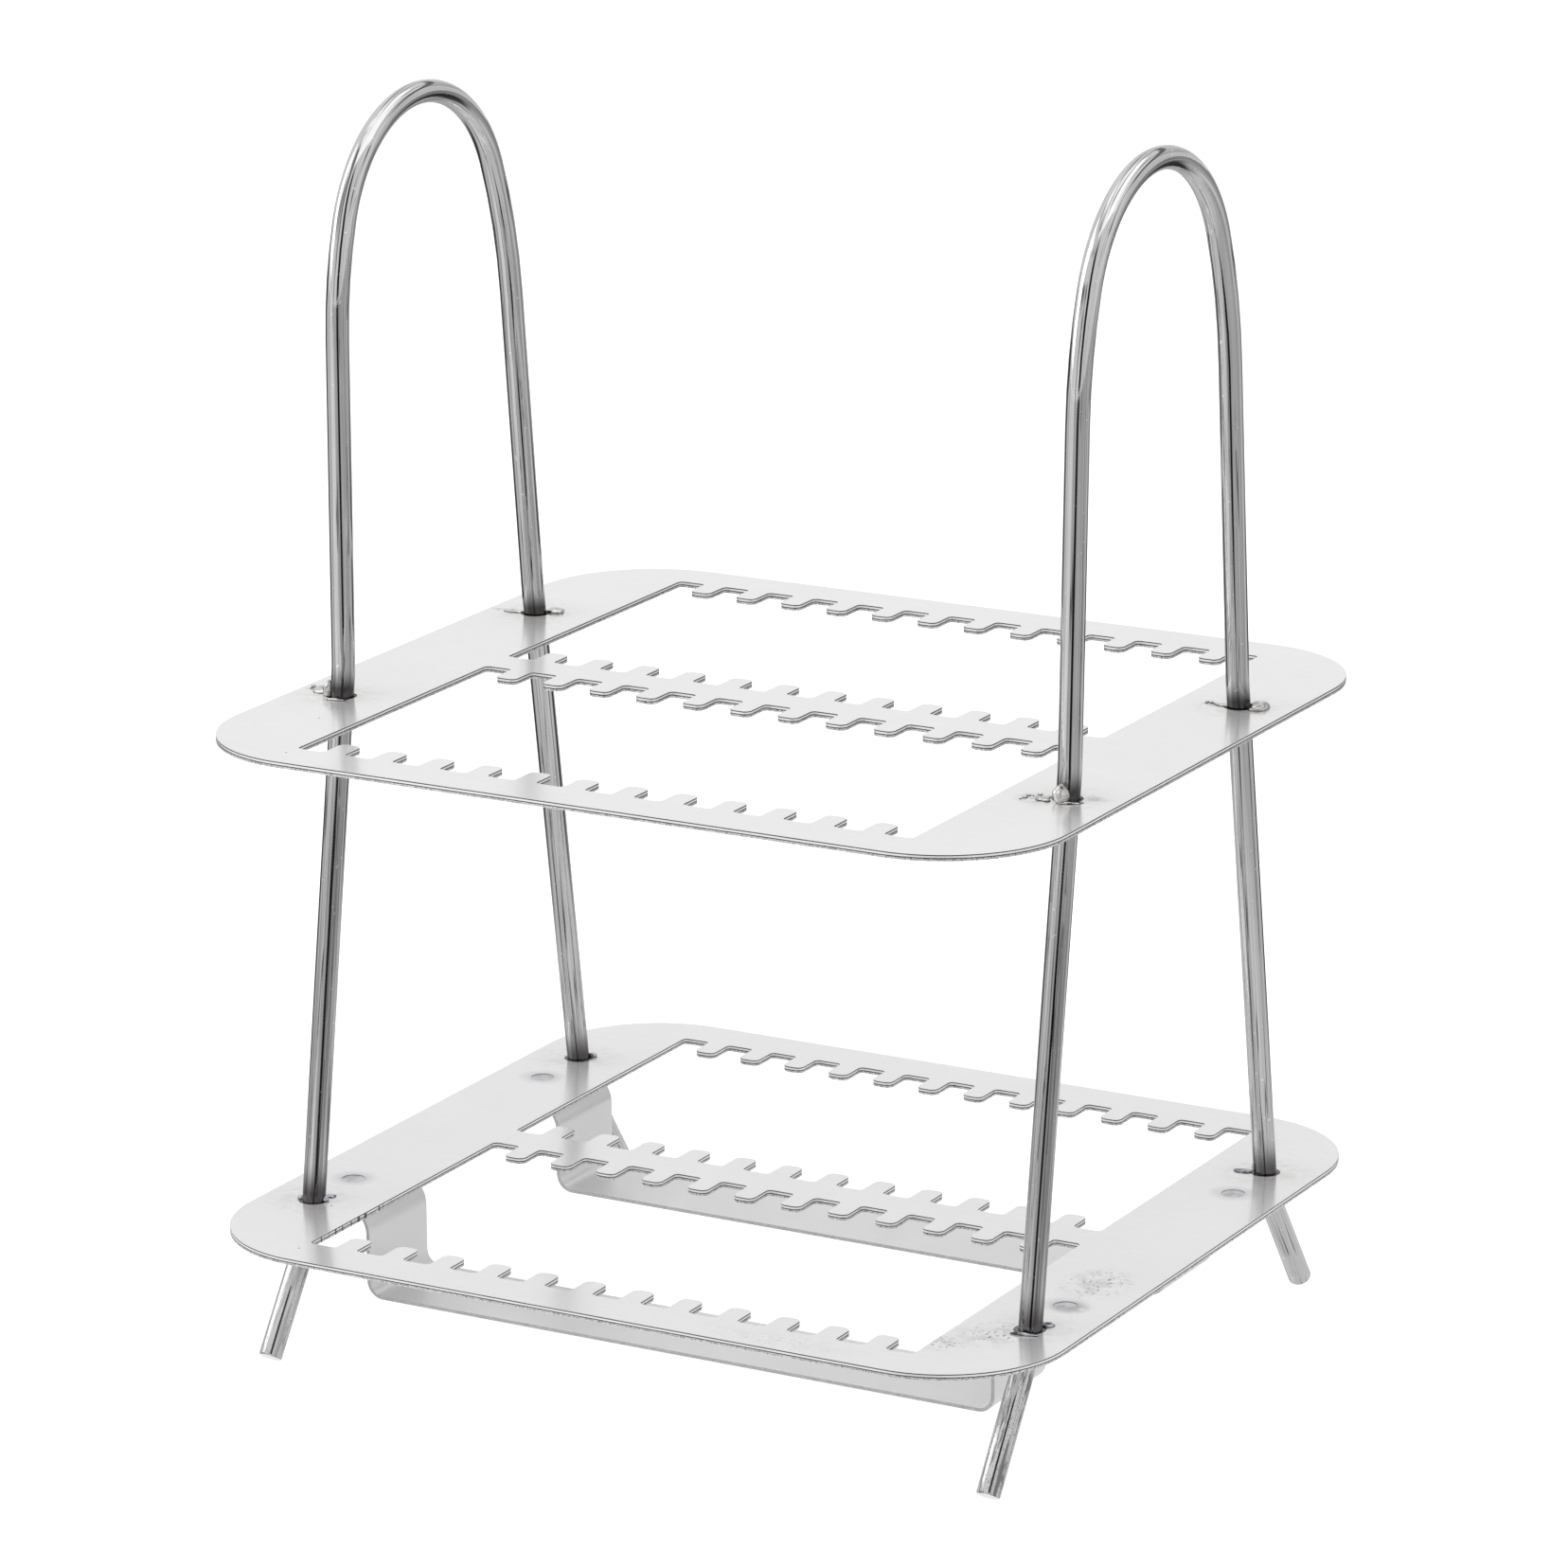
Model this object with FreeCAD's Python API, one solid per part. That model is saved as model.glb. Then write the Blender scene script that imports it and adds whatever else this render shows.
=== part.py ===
import FreeCAD, Part
import math
import os

from FreeCAD import Vector

# A two-tier wire and sheet rack. Two comb plates are carried by two bent-rod hoops,
# and two bent strips under the lower plate hold what stands in the combs.
# Millimetres, +Z up. The origin is on the surface that the feet stand on, midway
# between the hoops and midway between the front and rear edges. X runs along the
# comb rows, from the left hoop to the right hoop, and Y runs from front to rear.

# ---------------------------------------------------------------- comb plates
sheet_thickness = 0.5
corner_radius = 9.8
border_width = 9.2
rail_width = 3.8
middle_bar_width = 3.2
window_depth = 27.0
window_corner_radius = 0.4
slots_per_row = 13
slot_width = 2.3
tooth_width = 1.8
tooth_length = 2.6
tooth_tip_radius = 0.6
tooth_root_radius = 0.35

# --------------------------------------------------------------------- levels
lower_plate_height = 11.2
tier_height = 38.7
crown_height = 83.05

# ----------------------------------------------------------------- rod hoops
rod_diameter = 1.8
hoop_edge_distance = 4.1
leg_offset_lower = 20.0
leg_offset_top = 14.3
upper_leg_lean = 3.2
upper_bend_rise = 2.0
upper_bend_radius = 12.0
crown_radius = 11.25
crown_start_angle = 20.0
crown_forward_set = {"left": 2.0, "right": 0.8}
foot_lean = 35.0
foot_bend_drop = 1.4
foot_bend_radius = 2.2
leg_hole_clearance = 0.24

# ------------------------------------------------------------- support strips
strip_thickness = 0.3
strip_width = 8.4
strip_leg_clearance = 0.6
strip_window_clearance = 1.1
seat_drop = 7.5
strip_bend_radius = 1.1
strip_shoulder_radius = 1.9
flange_edge_distance = 1.8

# --------------------------------------------------------------------- welds
spot_weld_diameter = 1.8
spot_dimple_depth = 0.04
tack_radius = 0.55
tack_depth = 0.25
top_tack_angles = {
    "left": {-1: [180, 0, 250], 1: [180, 0]},
    "right": {-1: [180, 0, 250], 1: [180, 0]},
}
lower_tack_angles = {
    "left": {-1: [190], 1: [0]},
    "right": {-1: [35], 1: [180]},
}

# ------------------------------------------------------------- derived sizes
rod_radius = rod_diameter / 2
slot_pitch = slot_width + tooth_width
window_width = slots_per_row * slot_width + (slots_per_row - 1) * tooth_width
plate_width = window_width + 2 * border_width
plate_depth = 2 * rail_width + 2 * window_depth + middle_bar_width
top_plate_height = lower_plate_height + tier_height
window_inner_edge = middle_bar_width / 2
window_outer_edge = window_inner_edge + window_depth
hoop_offset = plate_width / 2 - hoop_edge_distance
leg_hole_radius = rod_radius + leg_hole_clearance
crown_top = lower_plate_height + crown_height
strip_outer_edge = leg_offset_lower - rod_radius - strip_leg_clearance
strip_centre = strip_outer_edge - strip_width / 2
strip_inner_face = window_width / 2 + strip_window_clearance
flange_end = plate_width / 2 - flange_edge_distance
flange_top = lower_plate_height - sheet_thickness
seat_top = lower_plate_height - seat_drop
spot_weld_offset = hoop_offset

side_signs = {"left": -1, "right": 1}


# ------------------------------------------------------------------- helpers
def rounded_edges(corners, place, closed):
    """Straight edges joined by tangent arcs. Each corner is (a, b, radius), and place
    turns the flat coordinates (a, b) into a point in space."""
    count = len(corners)
    runs = []
    for index, (a, b, radius) in enumerate(corners):
        corner = Vector(a, b, 0)
        end_of_path = not closed and index in (0, count - 1)
        if end_of_path or radius == 0:
            runs.append((corner, None, corner))
            continue
        before = Vector(*corners[index - 1][:2], 0)
        after = Vector(*corners[(index + 1) % count][:2], 0)
        to_before = (before - corner).normalize()
        to_after = (after - corner).normalize()
        half_angle = to_before.getAngle(to_after) / 2
        reach = radius / math.tan(half_angle)
        bisector = (to_before + to_after).normalize()
        middle = corner + bisector * (radius / math.sin(half_angle) - radius)
        runs.append((corner + to_before * reach, middle, corner + to_after * reach))

    edges = []
    pairs = count if closed else count - 1
    for index in range(count):
        start, middle, end = runs[index]
        if middle is not None:
            edges.append(Part.Arc(place(start), place(middle), place(end)).toShape())
        following = runs[(index + 1) % count][0]
        if index < pairs and end.distanceToPoint(following) > 1e-6:
            edges.append(Part.LineSegment(place(end), place(following)).toShape())
    return edges


def flat_face(corners, place):
    return Part.Face(Part.Wire(rounded_edges(corners, place, closed=True)))


def rectangle_corners(width, depth, radius):
    return [
        (-width / 2, -depth / 2, radius),
        (width / 2, -depth / 2, radius),
        (width / 2, depth / 2, radius),
        (-width / 2, depth / 2, radius),
    ]


def leg_offset_at(height):
    """Distance of a leg's centre line from the middle plane, between the two bends."""
    slope = (leg_offset_lower - leg_offset_top) / tier_height
    return leg_offset_lower - (height - lower_plate_height) * slope


def export(name, solids):
    shape = solids[0] if len(solids) == 1 else Part.makeCompound(solids)
    shape.exportStep("parts/" + name + ".step")
    print(name, len(shape.Solids), "solids", round(shape.Volume, 3), "mm3", shape.isValid())


# --------------------------------------------------------------- comb plates
def window_corners(side):
    """Outline of one window, with a comb on its two long edges. side is -1 for the
    front window and 1 for the rear one."""
    half = window_width / 2
    low, high = sorted((side * window_inner_edge, side * window_outer_edge))
    front_comb = []
    rear_comb = []
    for tooth in range(slots_per_row - 1):
        left = -half + slot_width + tooth * slot_pitch
        right = left + tooth_width
        front_comb += [
            (left, low, tooth_root_radius),
            (left, low + tooth_length, tooth_tip_radius),
            (right, low + tooth_length, tooth_tip_radius),
            (right, low, tooth_root_radius),
        ]
        rear_comb += [
            (left, high, tooth_root_radius),
            (left, high - tooth_length, tooth_tip_radius),
            (right, high - tooth_length, tooth_tip_radius),
            (right, high, tooth_root_radius),
        ]
    radius = window_corner_radius
    front_edge = [(-half, low, radius)] + front_comb + [(half, low, radius)]
    rear_edge = [(half, high, radius)] + rear_comb[::-1] + [(-half, high, radius)]
    return front_edge + rear_edge


def comb_plate(top_height):
    underside = top_height - sheet_thickness

    def on_underside(point):
        return Vector(point.x, point.y, underside)

    outline = rectangle_corners(plate_width, plate_depth, corner_radius)
    thickness = Vector(0, 0, sheet_thickness)
    plate = flat_face(outline, on_underside).extrude(thickness)
    for side in (-1, 1):
        plate = plate.cut(flat_face(window_corners(side), on_underside).extrude(thickness))
    hole_offset = leg_offset_at(top_height - sheet_thickness / 2)
    for x_sign in side_signs.values():
        for y_sign in (-1, 1):
            corner = Vector(x_sign * hoop_offset, y_sign * hole_offset, underside)
            plate = plate.cut(Part.makeCylinder(leg_hole_radius, sheet_thickness, corner))
    return plate


# ------------------------------------------------------------------ rod hoops
def shoulder_radius(below, shoulder, crown, crown_reach):
    """Bend radius of a shoulder whose arc ends where the crown's arc starts."""
    to_below = (below - shoulder).normalize()
    to_crown = crown - shoulder
    reach = to_crown.Length - crown_reach
    return reach * math.tan(to_below.getAngle(to_crown) / 2)


def hoop_corners(side):
    """Corners of the rod's centre line, from the front foot to the rear foot, as
    (distance behind the middle plane, height, bend radius)."""
    foot_end_height = rod_radius * math.sin(math.radians(foot_lean))
    foot_bend_height = lower_plate_height - foot_bend_drop
    foot_bend_offset = leg_offset_at(foot_bend_height)
    foot_rise = foot_bend_height - foot_end_height
    foot_end_offset = foot_bend_offset + foot_rise * math.tan(math.radians(foot_lean))

    upper_bend_height = top_plate_height + upper_bend_rise
    upper_bend_offset = leg_offset_at(upper_bend_height)

    start_angle = math.radians(crown_start_angle)
    leg_angle = math.radians(upper_leg_lean)
    crown_corner_height = crown_top + crown_radius * (1 / math.sin(start_angle) - 1)
    leg_foot = upper_bend_offset + upper_bend_height * math.tan(leg_angle)
    slope_change = math.tan(start_angle) - math.tan(leg_angle)
    shoulder_height = (crown_corner_height * math.tan(start_angle) - leg_foot) / slope_change
    shoulder_offset = (crown_corner_height - shoulder_height) * math.tan(start_angle)

    forward_slope = crown_forward_set[side] / (crown_top - upper_bend_height)
    crown_forward = (crown_corner_height - upper_bend_height) * forward_slope
    shoulder_forward = (shoulder_height - upper_bend_height) * forward_slope
    crown = Vector(-crown_forward, crown_corner_height, 0)
    bends = {y: Vector(y * upper_bend_offset, upper_bend_height, 0) for y in (-1, 1)}
    shoulders = {
        y: Vector(y * shoulder_offset - shoulder_forward, shoulder_height, 0) for y in (-1, 1)
    }
    crown_angle = (shoulders[-1] - crown).getAngle(shoulders[1] - crown)
    crown_reach = crown_radius / math.tan(crown_angle / 2)

    halves = {}
    for y in (-1, 1):
        radius = shoulder_radius(bends[y], shoulders[y], crown, crown_reach)
        halves[y] = [
            (y * foot_end_offset, foot_end_height, 0),
            (y * foot_bend_offset, foot_bend_height, foot_bend_radius),
            (bends[y].x, bends[y].y, upper_bend_radius),
            (shoulders[y].x, shoulders[y].y, radius),
        ]
    return halves[-1] + [(crown.x, crown.y, crown_radius)] + halves[1][::-1]


def hoop(side):
    def in_hoop_plane(point):
        return Vector(side_signs[side] * hoop_offset, point.x, point.y)

    path = Part.Wire(rounded_edges(hoop_corners(side), in_hoop_plane, closed=False))
    start = path.OrderedVertexes[0].Point
    direction = path.OrderedEdges[0].tangentAt(path.OrderedEdges[0].FirstParameter)
    profile = Part.Wire(Part.makeCircle(rod_radius, start, direction))
    return path.makePipeShell([profile], True, False)


# ------------------------------------------------------------- support strips
def support_strip(y_sign):
    """A strip bent to a flat-bottomed U with an outward flange at each end."""
    outer_face = strip_inner_face + strip_thickness
    seat_bottom = seat_top - strip_thickness
    flange_bottom = flange_top - strip_thickness
    right_side = [
        (flange_end, flange_top, 0),
        (flange_end, flange_bottom, 0),
        (outer_face, flange_bottom, strip_shoulder_radius),
        (outer_face, seat_bottom, strip_bend_radius + strip_thickness),
    ]
    right_inside = [
        (strip_inner_face, seat_top, strip_bend_radius),
        (strip_inner_face, flange_top, strip_shoulder_radius + strip_thickness),
    ]
    left_side = [(-a, b, radius) for a, b, radius in right_side[::-1]]
    left_inside = [(-a, b, radius) for a, b, radius in right_inside[::-1]]
    front_edge = y_sign * strip_centre - strip_width / 2

    def at_front_edge(point):
        return Vector(point.x, front_edge, point.y)

    section = right_side + left_side + left_inside + right_inside
    return flat_face(section, at_front_edge).extrude(Vector(0, strip_width, 0))


# --------------------------------------------------------------------- welds
def spot_nugget(x_sign, y_sign, dimple):
    """Fused zone of a spot weld through the plate and the flange below it. A dimple of
    zero gives the full depth, which is also the pocket it fills."""
    bottom = flange_top - strip_thickness + dimple
    height = sheet_thickness + strip_thickness - 2 * dimple
    base = Vector(x_sign * spot_weld_offset, y_sign * strip_centre, bottom)
    return Part.makeCylinder(spot_weld_diameter / 2, height, base)


def tack_weld(x_sign, y_sign, angle, top_height, plate, rod):
    """A bead that bridges the gap between a leg and the rim of its hole."""
    turn = math.radians(angle)
    reach = rod_radius + leg_hole_clearance / 2
    axis_point = Vector(x_sign * hoop_offset, y_sign * leg_offset_at(top_height), top_height)
    centre = axis_point + Vector(math.cos(turn), math.sin(turn), 0) * reach
    bead = Part.makeSphere(tack_radius, centre)
    below = Part.makeBox(
        4 * tack_radius,
        4 * tack_radius,
        tack_radius,
        centre - Vector(2 * tack_radius, 2 * tack_radius, tack_depth + tack_radius),
    )
    return bead.cut(below).cut(plate).cut(rod)


def tack_welds(side, angles, top_height, plate, rod):
    beads = []
    for y_sign, turns in angles[side].items():
        for angle in turns:
            bead = tack_weld(side_signs[side], y_sign, angle, top_height, plate, rod)
            beads += bead.Solids
    return beads


# ------------------------------------------------------------------ assembly
def main():
    os.makedirs("parts", exist_ok=True)
    top_plate = comb_plate(top_plate_height)
    lower_plate = comb_plate(lower_plate_height)
    strips = {"front": support_strip(-1), "rear": support_strip(1)}
    rows = {"front": -1, "rear": 1}

    for row, y_sign in rows.items():
        nuggets = []
        for x_sign in side_signs.values():
            pocket = spot_nugget(x_sign, y_sign, 0)
            lower_plate = lower_plate.cut(pocket)
            strips[row] = strips[row].cut(pocket)
            nuggets.append(spot_nugget(x_sign, y_sign, spot_dimple_depth))
        export(row + "_support_strip", strips[row].Solids)
        export(row + "_strip_spot_welds", nuggets)

    export("top_plate", top_plate.Solids)
    export("lower_plate", lower_plate.Solids)

    for side in side_signs:
        rod = hoop(side)
        export(side + "_hoop", rod.Solids)
        top_beads = tack_welds(side, top_tack_angles, top_plate_height, top_plate, rod)
        export(side + "_hoop_top_welds", top_beads)
        low_beads = tack_welds(side, lower_tack_angles, lower_plate_height, lower_plate, rod)
        export(side + "_hoop_lower_welds", low_beads)


main()
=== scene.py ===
from math import cos, pi, radians, sin, tan
from random import Random

import bmesh
import bpy
from bpy.props import FloatProperty, FloatVectorProperty, IntProperty, PointerProperty
from mathutils import Matrix, Vector, noise


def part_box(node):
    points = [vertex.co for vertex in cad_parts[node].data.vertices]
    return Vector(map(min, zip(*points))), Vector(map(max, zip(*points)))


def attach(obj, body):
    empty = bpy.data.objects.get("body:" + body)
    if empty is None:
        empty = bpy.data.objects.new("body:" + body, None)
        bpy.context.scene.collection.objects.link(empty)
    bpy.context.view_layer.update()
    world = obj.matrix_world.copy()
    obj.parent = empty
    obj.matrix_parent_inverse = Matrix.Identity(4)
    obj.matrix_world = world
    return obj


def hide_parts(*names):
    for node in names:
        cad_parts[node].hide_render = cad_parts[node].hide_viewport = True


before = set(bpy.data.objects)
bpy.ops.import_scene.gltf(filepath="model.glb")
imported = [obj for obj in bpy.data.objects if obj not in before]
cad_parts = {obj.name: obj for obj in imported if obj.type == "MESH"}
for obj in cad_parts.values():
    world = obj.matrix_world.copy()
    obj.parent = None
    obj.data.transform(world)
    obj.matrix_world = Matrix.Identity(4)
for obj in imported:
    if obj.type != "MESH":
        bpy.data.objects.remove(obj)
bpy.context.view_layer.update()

bl_info = {
    "name": "Two-tier comb rack",
    "version": (1, 0, 0),
    "blender": (4, 5, 0),
    "location": "3D View > Sidebar > Rack",
    "description": "Builds the finished pieces of a welded two-tier comb rack around its CAD frame",
    "category": "Object",
}

# Sizes are in millimetres unless a comment says otherwise, and positions are in the
# frame's own axes: X along the comb rows, Y to the rear, Z up from the floor.
MM = 0.001
SIDES = {"left": -1, "right": 1}
PLATES = ("top_plate", "lower_plate")
STRIPS = ("front_support_strip", "rear_support_strip")


def node_box(node):
    """Lowest and highest corners of a CAD node, in millimetres."""
    low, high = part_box(node)
    return low / MM, high / MM


PLATE_TOP = {plate: node_box(plate)[1].z for plate in PLATES}
SHEET = PLATE_TOP["top_plate"] - node_box("top_plate")[0].z
HOOP_X = {side: sum(corner.x for corner in node_box(side + "_hoop")) / 2 for side in SIDES}
ROD_DIAMETER = node_box("right_hoop")[1].x - node_box("right_hoop")[0].x
SPOTS = [
    (sx * HOOP_X["right"], sum(corner.y for corner in node_box(row + "_strip_spot_welds")) / 2)
    for row in ("front", "rear")
    for sx in (-1, 1)
]

# Distance from the middle to the legs' centre lines, where they pass through a plate.
LEG_Y = {"top_plate": 14.3, "lower_plate": 20.0}
SENSOR_WIDTH = 36


def leg_places(plate):
    """Where the legs pass through a plate, as (x, y) of their centre lines."""
    return [(x, sy * LEG_Y[plate]) for x in HOOP_X.values() for sy in (-1, 1)]


# ------------------------------------------------------------------ properties
class RackSizes(bpy.types.PropertyGroup):
    edge_rounding: FloatProperty(
        name="Edge rounding", description="Radius of the worn edges of the sheets",
        default=0.05 * MM, min=0, soft_max=0.2 * MM, precision=5, subtype="DISTANCE", unit="LENGTH")
    rod_diameter: FloatProperty(
        name="Rod diameter", description="Diameter of the bent rods",
        default=ROD_DIAMETER * MM, min=0.5 * MM, precision=5, subtype="DISTANCE", unit="LENGTH")
    rod_sides: IntProperty(
        name="Rod sides", description="Number of faces round a rod", default=48, min=12)
    foot_rounding: FloatProperty(
        name="Foot rounding", description="Radius of the rim at a rod's cut end",
        default=0.14 * MM, min=0, precision=5, subtype="DISTANCE", unit="LENGTH")
    bead_lumps: FloatProperty(
        name="Bead unevenness",
        description="How uneven the weld beads are, as a share of their size",
        default=0.16, min=0, max=0.5, subtype="FACTOR")


class RackColours(bpy.types.PropertyGroup):
    sheet: FloatVectorProperty(
        name="Sheet", description="Colour of the satin sheet", subtype="COLOR", size=3,
        min=0, max=1, default=(0.755, 0.755, 0.755))
    strip: FloatVectorProperty(
        name="Strip", description="Colour of the support strips", subtype="COLOR", size=3,
        min=0, max=1, default=(0.69, 0.69, 0.69))
    rod: FloatVectorProperty(
        name="Rod", description="Colour of the drawn rods", subtype="COLOR", size=3,
        min=0, max=1, default=(0.62, 0.62, 0.62))
    cut_edge: FloatVectorProperty(
        name="Cut edge", description="Colour of the sheared edges", subtype="COLOR", size=3,
        min=0, max=1, default=(0.50, 0.50, 0.50))
    heat_tint: FloatVectorProperty(
        name="Heat tint", description="Darkest colour beside a weld", subtype="COLOR", size=3,
        min=0, max=1, default=(0.075, 0.066, 0.070))


class RackStage(bpy.types.PropertyGroup):
    camera_azimuth: FloatProperty(
        name="Camera azimuth", description="Angle of the camera round the rack",
        default=radians(29.01), subtype="ANGLE", unit="ROTATION")
    camera_elevation: FloatProperty(
        name="Camera elevation", description="Angle of the camera above level",
        default=radians(15.715), subtype="ANGLE", unit="ROTATION")
    camera_roll: FloatProperty(
        name="Camera roll", description="Turn of the camera about its own axis",
        default=radians(-0.371), subtype="ANGLE", unit="ROTATION")
    camera_distance: FloatProperty(
        name="Camera distance", description="Distance from the camera to the point it looks at",
        default=542.03 * MM, subtype="DISTANCE", unit="LENGTH")
    lens: FloatProperty(
        name="Lens", description=f"Focal length in millimetres on a {SENSOR_WIDTH} mm sensor",
        default=164.33, min=10)
    floor_colour: FloatVectorProperty(
        name="Floor", description="Colour of the floor", subtype="COLOR", size=3,
        min=0, max=1, default=(0.60, 0.60, 0.60))
    floor_glow: FloatProperty(
        name="Floor glow",
        description="Light that comes through the floor, as through a light table",
        default=0.62, min=0)
    room_light: FloatProperty(
        name="Room light", description="Brightness of the even light from all round",
        default=0.96, min=0)


# ------------------------------------------------------------- shader building
class Wire:
    """A shader socket that can stand in an arithmetic expression."""

    def __init__(self, finish, socket):
        self.finish = finish
        self.socket = socket

    def math(self, operation, *values):
        inputs = dict(enumerate(values))
        return self.finish.node("ShaderNodeMath", {"operation": operation}, inputs)

    def __add__(self, other):
        return self.math("ADD", self, other)

    def __radd__(self, other):
        return self.math("ADD", other, self)

    def __sub__(self, other):
        return self.math("SUBTRACT", self, other)

    def __rsub__(self, other):
        return self.math("SUBTRACT", other, self)

    def __mul__(self, other):
        return self.math("MULTIPLY", self, other)

    def __rmul__(self, other):
        return self.math("MULTIPLY", other, self)

    def __truediv__(self, other):
        return self.math("DIVIDE", self, other)

    def __pow__(self, other):
        return self.math("POWER", self, other)

    def __abs__(self):
        return self.math("ABSOLUTE", self)

    def rise(self, low, high):
        """0 below low, 1 above high and a smooth ramp between."""
        return self.finish.node(
            "ShaderNodeMapRange", {"interpolation_type": "SMOOTHSTEP"},
            {"Value": self, "From Min": low, "From Max": high})

    def fall(self, low, high):
        """1 below low, 0 above high and a smooth ramp between."""
        return 1 - self.rise(low, high)

    def least(self, other):
        return self.math("MINIMUM", self, other)

    def most(self, other):
        return self.math("MAXIMUM", self, other)


class Nodes:
    """A node tree under construction."""

    def __init__(self, tree):
        self.tree = tree

    def node(self, kind, settings=None, inputs=None, output=0):
        """A node of this kind, with its settings and the values or links of its sockets."""
        made = self.tree.nodes.new(kind)
        for key, value in (settings or {}).items():
            setattr(made, key, value)
        for key, value in (inputs or {}).items():
            if isinstance(value, Wire):
                self.tree.links.new(value.socket, made.inputs[key])
            else:
                made.inputs[key].default_value = value
        return Wire(self, made.outputs[output])

    def split(self, vector):
        parts = self.node("ShaderNodeSeparateXYZ", None, {0: vector}).socket.node
        return [Wire(self, parts.outputs[axis]) for axis in "XYZ"]

    def join(self, x, y, z):
        return self.node("ShaderNodeCombineXYZ", None, {0: x, 1: y, 2: z})

    def noise(self, vector, scale, detail=2.0, roughness=0.5):
        """Noise from 0 to 1, with about one grain per 1/scale of the vector's unit."""
        inputs = {"Vector": vector, "Scale": scale, "Detail": detail, "Roughness": roughness}
        return self.node("ShaderNodeTexNoise", {"noise_dimensions": "3D"}, inputs)

    def mix(self, factor, first, second):
        inputs = {"Factor": factor, 6: self.colour(first), 7: self.colour(second)}
        return self.node("ShaderNodeMix", {"data_type": "RGBA"}, inputs, 2)

    def shade(self, colour, amount):
        """A colour made darker or lighter by a factor that may vary."""
        grey = self.join(amount, amount, amount)
        settings = {"data_type": "RGBA", "blend_type": "MULTIPLY"}
        inputs = {"Factor": 1.0, 6: self.colour(colour), 7: grey}
        return self.node("ShaderNodeMix", settings, inputs, 2)

    def colour(self, value):
        return value if isinstance(value, Wire) else (*value, 1.0)


class Finish(Nodes):
    """A material under construction, with positions in millimetres."""

    def __init__(self, name, constants):
        self.material = bpy.data.materials.new(name)
        self.material.use_nodes = True
        super().__init__(self.material.node_tree)
        self.shader = self.tree.nodes["Principled BSDF"]
        for socket, value in constants.items():
            self.shader.inputs[socket].default_value = value
        coordinates = self.tree.nodes.new("ShaderNodeTexCoord")
        self.place = self.node(
            "ShaderNodeVectorMath", {"operation": "SCALE"},
            {0: Wire(self, coordinates.outputs["Object"]), "Scale": 1 / MM})
        self.x, self.y, self.z = self.split(self.place)
        self.facing = self.split(Wire(self, coordinates.outputs["Normal"]))

    def spot(self, x, y, inner, outer, stretch=1.0):
        """1 within inner millimetres of a point of the plan, 0 outside outer. stretch
        makes the spot that many times longer along Y."""
        across = self.x - x
        along = (self.y - y) / stretch
        away = (across * across + along * along) ** 0.5
        return away.fall(inner, outer)

    def feed(self, **links):
        names = {"base": "Base Color", "roughness": "Roughness", "normal": "Normal"}
        for key, wire in links.items():
            self.tree.links.new(wire.socket, self.shader.inputs[names[key]])

    def bump(self, height, depth, strength):
        """A normal from a height of 0 to 1 that stands for depth in millimetres."""
        inputs = {"Strength": strength, "Distance": depth * MM, "Height": height}
        return self.node("ShaderNodeBump", None, inputs)


# ------------------------------------------------------------------- finishes
def union(masks):
    """1 wherever any of the masks is."""
    total = masks[0]
    for mask in masks[1:]:
        total = total.most(mask)
    return total


# Marks on the sheets: x, y, the distances within which a mark is full and beyond which
# it is gone, and, where it isn't round, how many times longer it is along Y.
PINHOLES = ((-25.8, -30.0, 0.05, 0.13), (-28.9, -20.6, 0.05, 0.14))
TOP_STAINS = (
    (28.8, -15.3, 0.4, 2.0, 0.9), (29.0, 13.95, 0.2, 1.7, 0.35), (-33.4, 14.0, 0.2, 1.7, 0.35),
    (-33.4, -13.4, 0.3, 1.7, 0.7), (32.6, -13.6, 0.2, 1.6, 0.6),
)
LOWER_GRIME = (
    (30.8, -9.0, 0.6, 3.4, 1.3), (28.8, -22.6, 0.6, 3.2, 1.1), (26.4, -25.6, 0.4, 2.6, 0.8),
)
LOWER_FAINT_GRIME = (16.0, -30.6, 0.0, 9.0, 0.25)
LOWER_SMEAR = (31.3, -14.5, 0.7, 1.8, 0.9)
# The cut wall of the lower plate's windows that carries dark bars, and the places along
# Y between which they fade out.
BARRED_WALL_X = -25.75
BARRED_WALL_END = (-18, -16)

# Colours of those marks.
PINHOLE, STAIN, GRIME = (0.05, 0.05, 0.05), (0.22, 0.21, 0.20), (0.36, 0.36, 0.36)
SMEAR, PIT, BAR = (0.30, 0.30, 0.31), (0.09, 0.09, 0.09), (0.04, 0.04, 0.04)
STRAW_TINT, BLUE_TINT = (0.66, 0.63, 0.56), (0.50, 0.51, 0.56)
SPOT_RIM, SPOT_RING = (0.45, 0.45, 0.46), (0.40, 0.40, 0.45)


def top_plate_marks(finish, base, height, mottle):
    """Gritty stains beside the legs."""
    stains = union([finish.spot(*stain) for stain in TOP_STAINS])
    gritty = stains * mottle.rise(0.36, 0.58)
    return finish.mix(gritty * 0.55, base, STAIN), height - gritty * 1.5


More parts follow.
